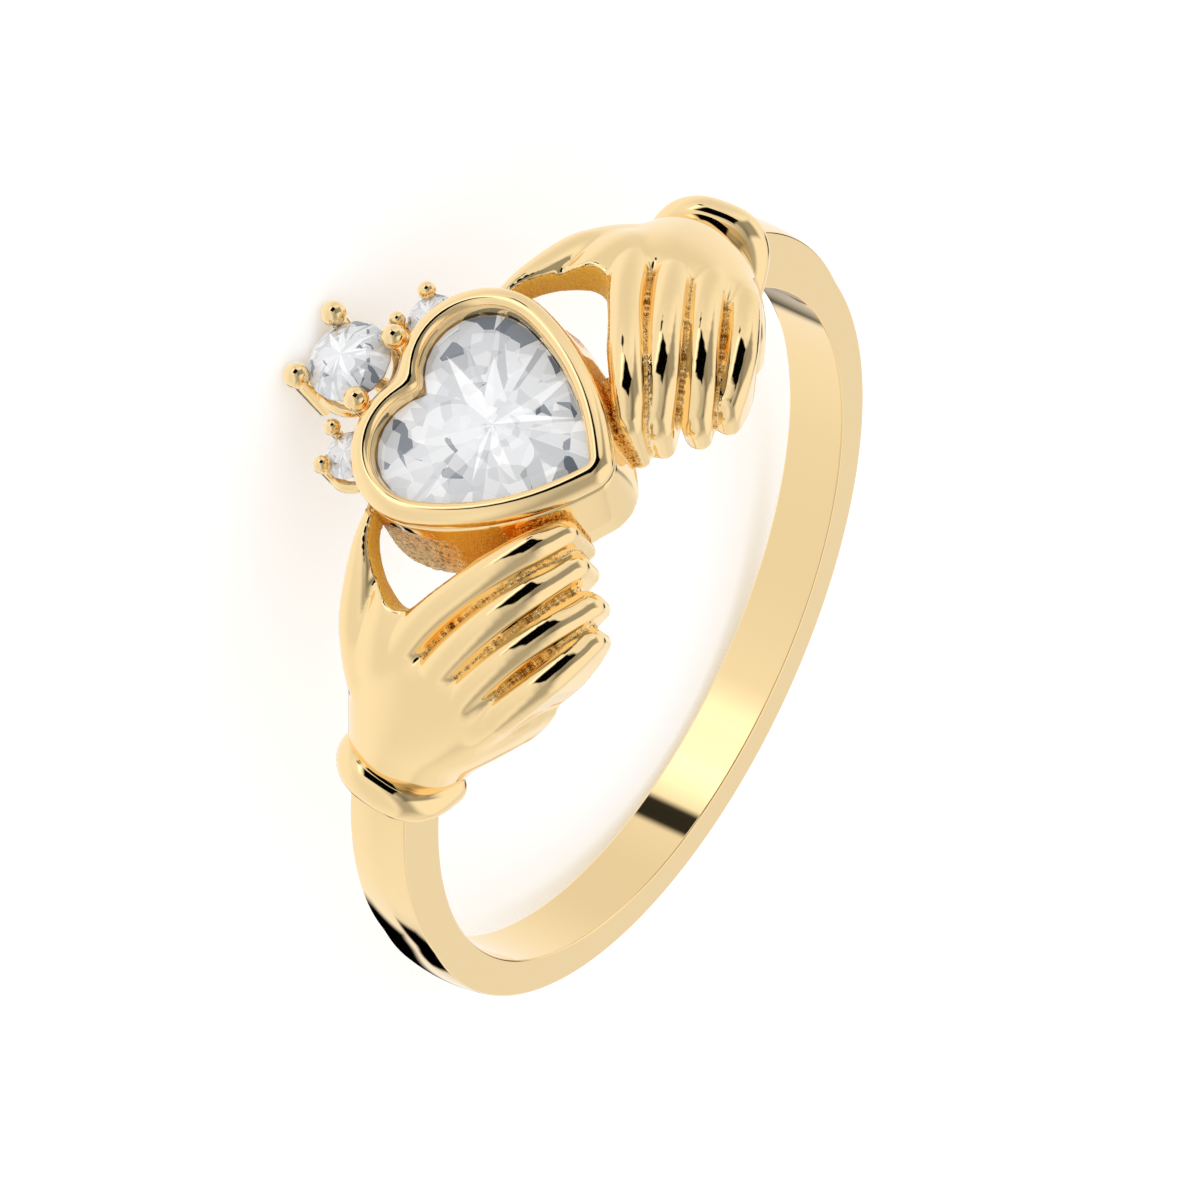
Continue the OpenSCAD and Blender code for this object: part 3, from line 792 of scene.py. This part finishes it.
def grainAndPaintedLightOnHand(obj, gapTree):
    # cast skin with painted shade in the grooves and along the skirt, and the painted orange reflection on
    # the walls of the gap
    co = coordinates(obj)
    r = np.hypot(co[:, 0], co[:, 1])
    deep = ramp(hollowness(obj, hand["grooveRounds"]), *hand["groove"])
    crevice = ramp(nearness(obj, skirtTree, hand["nearSkirt"]), 0.2, 0.7)
    mask = np.maximum(deep, crevice) * ramp(r, holeR + 0.05, holeR + 0.2)
    roughen(obj, mask, hand["grainDepth"], hand["grainSize"])
    n = normals(obj)
    flat = 1 - np.abs((n[:, 0] * co[:, 0] + n[:, 1] * co[:, 1]) / r)
    # where the painted orange reflection goes on the gap's walls
    wall = ramp(nearness(obj, gapTree, hand["nearGap"]), 0.25, 0.75) * ramp(flat, 0.3, 0.6)
    setGrainAndPaintedLight(obj, np.maximum(0.6 * mask, wall))


def makeHand():
    # back, skin, thumb and index finger are cut first, and the rest is fused on to them
    gap = loft("gap", [[onRing(row[0], r, row[k] * hand["reach"]) for row in smoothRows(gapRows, 4)]
                       for k, r in ((1, 0.72 * holeR), (2, holeR + 2 * hand["height"]))])
    solids = [
        loft("back", [backRing(row) for row in smoothRows(backRows, 5)]),
        loft("skin", [backRing(row) for row in smoothRows(skinRows, 5)]),
        makeFinger("index", indexRows),
        makeFinger("thumb", thumbRows, False),
    ]
    hollow = loft("hollow", [hollowRing(row) for row in smoothRows(hollowRows, 4)])
    for solid in solids:
        for cutter in (gap, hollow):
            applyModifier(solid, "BOOLEAN", operation="DIFFERENCE", object=cutter, solver="EXACT")
    gapTree = BVHTree.FromObject(gap, bpy.context.evaluated_depsgraph_get())
    solids += [makeFinger("web", rows) for rows in webRows]
    solids += [
        makeFinger("middle", middleRows),
        makeFinger("ring", ringRows),
        makeFinger("little", littleRows),
    ]
    for cutter in (gap, hollow):
        bpy.data.objects.remove(cutter)
    obj = fuse(solids, "hand_right", hand["voxel"], hand["smoothing"])
    smoothWhere(obj, knuckleWeights(obj), hand["knuckleRounds"])
    smoothWhere(obj, np.minimum(1, 1.5 * nearness(obj, gapTree, hand["gapSoft"])), hand["gapRounds"])
    keepOffFinger(obj)
    grainAndPaintedLightOnHand(obj, gapTree)
    return obj


handRight = makeHand()
handLeft = mirrored(handRight, "hand_left")
print("hands ready")

# Cuffs

cuff = {
    "roll": 0.45,
    "middleZ": 0.0,
    "halfW": 0.275 * hand["reach"],
    "top": 0.745 * hand["height"],
    "wideH": 0.16 * hand["height"],
    "fullness": 0.72,
    "crownFullness": 0.85,
    "lean": 1.4,          # degrees by which the heart's side stands nearer to the heart
    "sides": 72,
}


def cuffRing(ahead, grow):
    # a round-cornered arch across the wrist, closed off at the finger hole
    ring = []
    h, w = cuff["top"] - cuff["wideH"] + grow, cuff["halfW"] + grow
    for i in range(cuff["sides"]):
        a = 2 * math.pi * i / cuff["sides"]
        power = cuff["fullness"] if a > math.pi else cuff["crownFullness"]
        up, across = boxy(math.cos(a), power), boxy(-math.sin(a), power)
        r = holeR + cuff["wideH"] + h * (up if up > 0 else 0.45 * up)
        angle = band["cuffAngle"] + ahead * degPerMm + cuff["lean"] * across
        ring.append(onRing(angle, max(r, holeR), cuff["middleZ"] + w * across))
    return ring


def makeCuff():
    # a roll round the wrist, closed off inside the band and inside the hand
    roll = cuff["roll"]
    rings = [cuffRing(-1.4 * roll, -0.4 * roll)]
    rings += [cuffRing(-1.1 * roll * math.cos(a), 0.85 * roll * math.sin(a))
              for a in np.radians(np.linspace(0, 180, 25))]
    rings += [cuffRing(1.12 * roll, -0.3 * roll), cuffRing(1.12 * roll, -0.7 * roll)]
    obj = loft("cuff_right", rings)
    setGrainAndPaintedLight(obj, np.zeros(len(obj.data.vertices)))
    return obj


cuffRight = makeCuff()
cuffLeft = mirrored(cuffRight, "cuff_left")
for piece in (handRight, handLeft, cuffRight, cuffLeft):
    finishPiece(piece, gold, "gold", "ring_casting")
bezel = joinAll([rim, skirt], "bezel")
finishPiece(bezel, gold, "gold", "ring_casting")

# Crown

crown = {
    "stoneR": 1.05,
    "sideStoneR": 0.625,
    "ballR": 0.31,        # prongs' balls at the middle stone
    "smallR": 0.21,
    "lean": math.radians(8),
    "y": heart["rimY"],
    "voxel": 0.03,
    "smoothing": 5,
    "grooveRounds": 16,
    "groove": (0.012, 0.04),
    "grainDepth": 0.012,
    "grainSize": 0.07,
}
midR, sideStoneR, smallR = crown["stoneR"], crown["sideStoneR"], crown["smallR"]
crownZ = lobeZ - lobeR - heart["rimR"] - 1.1 * midR
ballX, outerZ, innerZ = 0.83 * midR, -0.86 * midR, 0.84 * midR
midSet = -0.24 * midR
sideX, sideY, sideZ = 1.84 * midR, -0.86 * midR, 0.88 * midR
stemL = 1.15 * midR
prongRows = [  # places across, up and along the finger, the ball's radius and the stem's length
    [ballX, 0, outerZ, crown["ballR"], 1.31 * stemL],
    [ballX, 0, innerZ, crown["ballR"], stemL],
    [sideX - 0.68 * sideStoneR, sideY + smallR, sideZ - 1.08 * sideStoneR, smallR, 0.7 * stemL],
    [sideX + 0.82 * sideStoneR, sideY + smallR, sideZ - 0.62 * sideStoneR, 1.08 * smallR, 0.7 * stemL],
]


def crownPlace(x, y, z):
    c, s = math.cos(crown["lean"]), math.sin(crown["lean"])
    return Vector((x, crown["y"] + y * c + z * s, crownZ - y * s + z * c))


def roundRing(x, y, z, r, sides=24):
    return [crownPlace(x + r * math.cos(a), y, z + r * math.sin(a))
            for a in fullTurn(sides)]


def makeProng(name, x, y, z, r, length):
    # a ball on a stem that thins downwards
    rings = [roundRing(x, y + r * math.cos(a), z, r * math.sin(a))
             for a in np.radians(np.linspace(6, 132, 18))]
    rings += [roundRing(x, y - r * 0.67 - length * t, z, r * (0.74 - 0.22 * t))
              for t in np.linspace(0.08, 1, 8)]
    return loft(name, rings)


def makeRail(name, x, y, z, r, wire):
    # a ring of wire under a stone
    rings = []
    for a in fullTurn(48):
        rings.append([crownPlace(x + (r + wire * math.cos(b)) * math.cos(a), y + wire * math.sin(b),
                                 z + (r + wire * math.cos(b)) * math.sin(a))
                      for b in fullTurn(16)])
    return loft(name, rings, closed=True)


def makeArm(name, x, y, z0, z1, r):
    # a straight wire from a stone's seat to the bezel
    rings = [[crownPlace(x + r * math.cos(a), y + r * math.sin(a), z)
              for a in fullTurn(20)] for z in np.linspace(z0, z1, 6)]
    return loft(name, rings)


def makeCrown():
    solids = []
    for s in (-1, 1):
        solids += [makeProng("prong", s * x, y, z, r, length) for x, y, z, r, length in prongRows]
        solids.append(makeRail("rail", s * sideX, sideY - 0.75 * sideStoneR, sideZ,
                               0.95 * sideStoneR, 0.75 * smallR))
        solids.append(makeArm("arm", s * (sideX + lobeX) / 2, sideY - sideStoneR,
                              sideZ, sideZ + 3 * sideStoneR, smallR))
    seatY = midSet - 0.62 * midR
    solids.append(makeRail("rail", 0, seatY, 0, 0.93 * midR, 0.5 * crown["ballR"]))
    solids.append(makeArm("arm", 0, seatY - 0.2 * midR, 0.6 * innerZ, innerZ + 1.2 * midR,
                          0.8 * crown["ballR"]))
    obj = fuse(solids, "crown_setting", crown["voxel"], crown["smoothing"])
    deep = ramp(hollowness(obj, crown["grooveRounds"]), *crown["groove"])
    roughen(obj, deep, crown["grainDepth"], crown["grainSize"])
    # cast skin in the crown's hollows, with painted shade
    setGrainAndPaintedLight(obj, 0.6 * deep)
    finishPiece(obj, gold, "gold", "ring_casting")


makeCrown()
print("crown ready")

# Stones

brilliantCut = {  # as shares of the radius
    "table": 0.56,
    "crownH": 0.31,
    "starR": 0.8,
    "girdle": 0.03,
    "lowerR": 0.3,
    "lowerY": -0.68,
    "culet": -0.84,
}


def circlePoints(r, y, sides, turn, toPlace):
    return [toPlace(r * math.cos(a), y, r * math.sin(a))
            for a in fullTurn(sides) + turn]


def makeBrilliant(name, r, toPlace):
    # the points of the cut, closed by their hull, which finds every facet
    cut = brilliantCut
    slope = (cut["crownH"] - cut["girdle"]) / (1 - cut["table"])
    eighth = math.pi / 8
    starY = cut["girdle"] + (1 - cut["starR"] * math.cos(eighth)) * slope
    points = circlePoints(r * cut["table"], r * cut["crownH"], 8, 0, toPlace)
    points += circlePoints(r * cut["starR"], r * starY, 8, eighth, toPlace)
    points += circlePoints(r, r * cut["girdle"], 16, 0, toPlace)
    points += circlePoints(r, -r * cut["girdle"], 16, 0, toPlace)
    points += circlePoints(r * cut["lowerR"], r * cut["lowerY"], 8, eighth, toPlace)
    points += [toPlace(0, r * cut["culet"], 0)]
    deselectAll()
    bpy.ops.mesh.primitive_circle_add(vertices=len(points), radius=1, fill_type="NOTHING")
    obj = bpy.context.object
    obj.name = name
    setCoordinates(obj, np.array(points))
    bpy.ops.object.mode_set(mode="EDIT")
    bpy.ops.mesh.select_all(action="SELECT")
    bpy.ops.mesh.delete(type="EDGE_FACE")
    bpy.ops.mesh.select_all(action="SELECT")
    bpy.ops.mesh.convex_hull(join_triangles=True)
    bpy.ops.mesh.select_all(action="SELECT")
    bpy.ops.mesh.normals_make_consistent(inside=False)
    bpy.ops.object.mode_set(mode="OBJECT")
    bpy.ops.object.shade_flat()
    return obj


stoneMiddle = makeBrilliant("crown_stone_middle_cut", midR, lambda x, y, z: crownPlace(x, midSet + y, z))
finishPiece(stoneMiddle, makeStone("crownStoneMiddle", crownPlace(0, midSet, 0), midR), "crown_stones",
            "crown_stone_middle")
for sign, side in ((-1, "left"), (1, "right")):
    stone = makeBrilliant("crown_stone_" + side + "_cut", sideStoneR,
                          lambda x, y, z: crownPlace(sign * sideX + x, sideY + y, sideZ + z))
    finishPiece(stone, makeStone("crownStone" + side.title(), crownPlace(sign * sideX, sideY, sideZ),
                                 sideStoneR), "crown_stones", "crown_stone_" + side)

heartCut = {
    "girdleSet": -0.014 * heart["width"],
    "girdleY": heart["rimY"] - 1.1 * heart["rimR"],
    "girdleT": 0.02 * heart["width"],
    "tableT": 0.05 * heart["width"],
    "tableS": 0.985,
    "culetY": holeR + 0.02 * heart["width"],
    "sparkleR": 2.6,     # radius of the painted star of inner facet reflections, whose middle stands over the culet
    "sparkleY": holeR + 1.6,
}


def makeHeartStone():
    cut = heartCut
    lowY, highY = cut["girdleY"] - cut["girdleT"] / 2, cut["girdleY"] + cut["girdleT"] / 2
    mid = heart["middle"]

    def cutRing(y, d, s):
        return heartRing(y, d, s, mid, steps=17)

    # from the culet up to the table, with two rows of facets on each side of the girdle
    star = cutRing(highY + 0.6 * cut["tableT"], -heart["lip"], cut["tableS"] * 0.35 + 0.65)
    table = cutRing(cut["girdleY"] + cut["tableT"], -heart["lip"], cut["tableS"])
    rings = [cutRing(cut["culetY"], cut["girdleSet"], 0.04),
             cutRing(cut["culetY"] + (lowY - cut["culetY"]) * 0.42, cut["girdleSet"], 0.5),
             cutRing(lowY, cut["girdleSet"], 1), cutRing(highY, cut["girdleSet"], 1), star, table]
    obj = loft("heart_stone_cut", rings)
    bpy.ops.object.shade_flat()
    sparkle = makeStone("heartStone", (0, cut["sparkleY"], mid + 0.05), cut["sparkleR"])
    finishPiece(obj, sparkle, "heart_stone", "heart_stone")


makeHeartStone()
print("stones ready")

# Stage, light and camera

stageLook = {
    "floorSize": 0.6,
    "floorColour": (0.95, 0.95, 0.95, 1),
    "floorRoughness": 0.9,
    "floorGloss": 0.1,
    "floorGlow": 0.24,
    "worldStrength": 1.0,
}


def makeFloor():
    deselectAll()
    bpy.ops.mesh.primitive_plane_add(size=stageLook["floorSize"], location=(0, 0, cadBox[0][2] - 0.00002))
    floor = bpy.context.object
    floor.name = "floor"
    material = bpy.data.materials.new("paleFloor")
    material.use_nodes = True
    shader = material.node_tree.nodes["Principled BSDF"]
    shader.inputs["Base Color"].default_value = stageLook["floorColour"]
    shader.inputs["Roughness"].default_value = stageLook["floorRoughness"]
    shader.inputs["Specular IOR Level"].default_value = stageLook["floorGloss"]
    shader.inputs["Emission Color"].default_value = (1, 1, 1, 1)
    shader.inputs["Emission Strength"].default_value = stageLook["floorGlow"]
    floor.data.materials.append(material)
    floor.visible_glossy = False  # the metal mirrors the studio all round


studioCards = [  # azimuth, elevation, half width and half height in degrees, softness, brightness
    (-12, -11, 15, 3, 0.6, 1.6),
    (-13, 12, 19, 16, 0.12, 0.0),
    (-42, 46, 34, 19, 0.3, 0.35),
    (60, 52, 46, 20, 0.6, 0.45),
    (178, -41.2, 15, 3.9, 0.25, 0.0),
    (156, -31.5, 7, 2.6, 0.3, 0.0),
    (165, -26, 14, 6, 0.8, 0.65),
    (-36, -13, 4, 3, 0.35, 0.03),
    (60, -8, 44, 26, 0.7, 0.86),
    (-68, -16, 28, 18, 0.8, 0.82),
    (-166, 12, 34, 12, 0.7, 0.85),
    (-142, 5, 9, 8, 0.4, 0.05),
]


def makeWorld():
    # an even white studio, with dark and bright cards that show only as reflections in the metal
    world = bpy.data.worlds.new("softStudio")
    world.use_nodes = True
    tree = world.node_tree
    start = Socket(tree, None)
    direction = start.node("ShaderNodeTexCoord", output=0)
    light = stageLook["worldStrength"]
    for azimuth, elevation, halfW, halfH, soft, tone in studioCards:
        # the card's place in a flat map of the directions round it
        raised = Matrix.Rotation(math.radians(elevation), 3, "X")
        toCard = (raised @ Matrix.Rotation(math.radians(-azimuth), 3, "Z")).to_euler()
        local = direction.node("ShaderNodeVectorRotate", {"rotation_type": "EULER_XYZ"}, {
            "Vector": direction, "Rotation": tuple(toCard)})
        scaled = local.node("ShaderNodeVectorMath", {"operation": "MULTIPLY"}, {
            0: local, 1: (1 / math.sin(math.radians(halfW)), 0, 1 / math.sin(math.radians(halfH)))})
        x = scaled.node("ShaderNodeSeparateXYZ", inputs={0: scaled})
        z = Socket(tree, x.out.node.outputs[2])
        side = x.maths("MAXIMUM", x.maths("ABSOLUTE", x), z.maths("ABSOLUTE", z))
        depth = local.node("ShaderNodeSeparateXYZ", inputs={0: local}, output=1)
        mask = (1 - side.step(1 - soft, 1 + soft)) * (depth < 0)
        light = light * (1 - (1 - tone) * mask)
    reflected = tree.nodes["Background"]
    reflected.inputs["Color"].default_value = (1, 1, 1, 1)
    tree.links.new(light.out, reflected.inputs["Strength"])
    plain = tree.nodes.new("ShaderNodeBackground")
    plain.inputs["Color"].default_value = (1, 1, 1, 1)
    plain.inputs["Strength"].default_value = stageLook["worldStrength"]
    glossy = start.node("ShaderNodeLightPath", output=3)
    mix = tree.nodes.new("ShaderNodeMixShader")
    tree.links.new(glossy.out, mix.inputs[0])
    tree.links.new(plain.outputs[0], mix.inputs[1])
    tree.links.new(reflected.outputs[0], mix.inputs[2])
    tree.links.new(mix.outputs[0], tree.nodes["World Output"].inputs[0])
    scene.world = world


view = {  # the photo's angle to the ring, as it lies
    "aim": (-0.000067, -0.00033, -0.000392),
    "distance": 0.354538,
    "azimuth": 17.3735,
    "elevation": 36.9207,
    "roll": 110.1346,
    "lens": 446.05,
}


def makeCamera():
    a, e = math.radians(view["azimuth"]), math.radians(view["elevation"])
    back = Vector((math.sin(a) * math.cos(e), -math.cos(a) * math.cos(e), math.sin(e)))
    right = Vector((0, 0, 1)).cross(back).normalized()
    level = Matrix((right, back.cross(right), back)).transposed()
    deselectAll()
    bpy.ops.object.camera_add(location=Vector(view["aim"]) + back * view["distance"])
    camera = bpy.context.object
    camera.rotation_mode = "QUATERNION"
    camera.rotation_quaternion = (level @ Matrix.Rotation(math.radians(view["roll"]), 3, "Z")).to_quaternion()
    camera.data.lens = view["lens"]
    camera.data.sensor_width = 36
    camera.data.clip_start, camera.data.clip_end = 0.01, 10
    scene.camera = camera


makeFloor()
makeWorld()
makeCamera()
scene.view_settings.view_transform = "Standard"
scene.cycles.glossy_bounces = 8
print("stage ready")
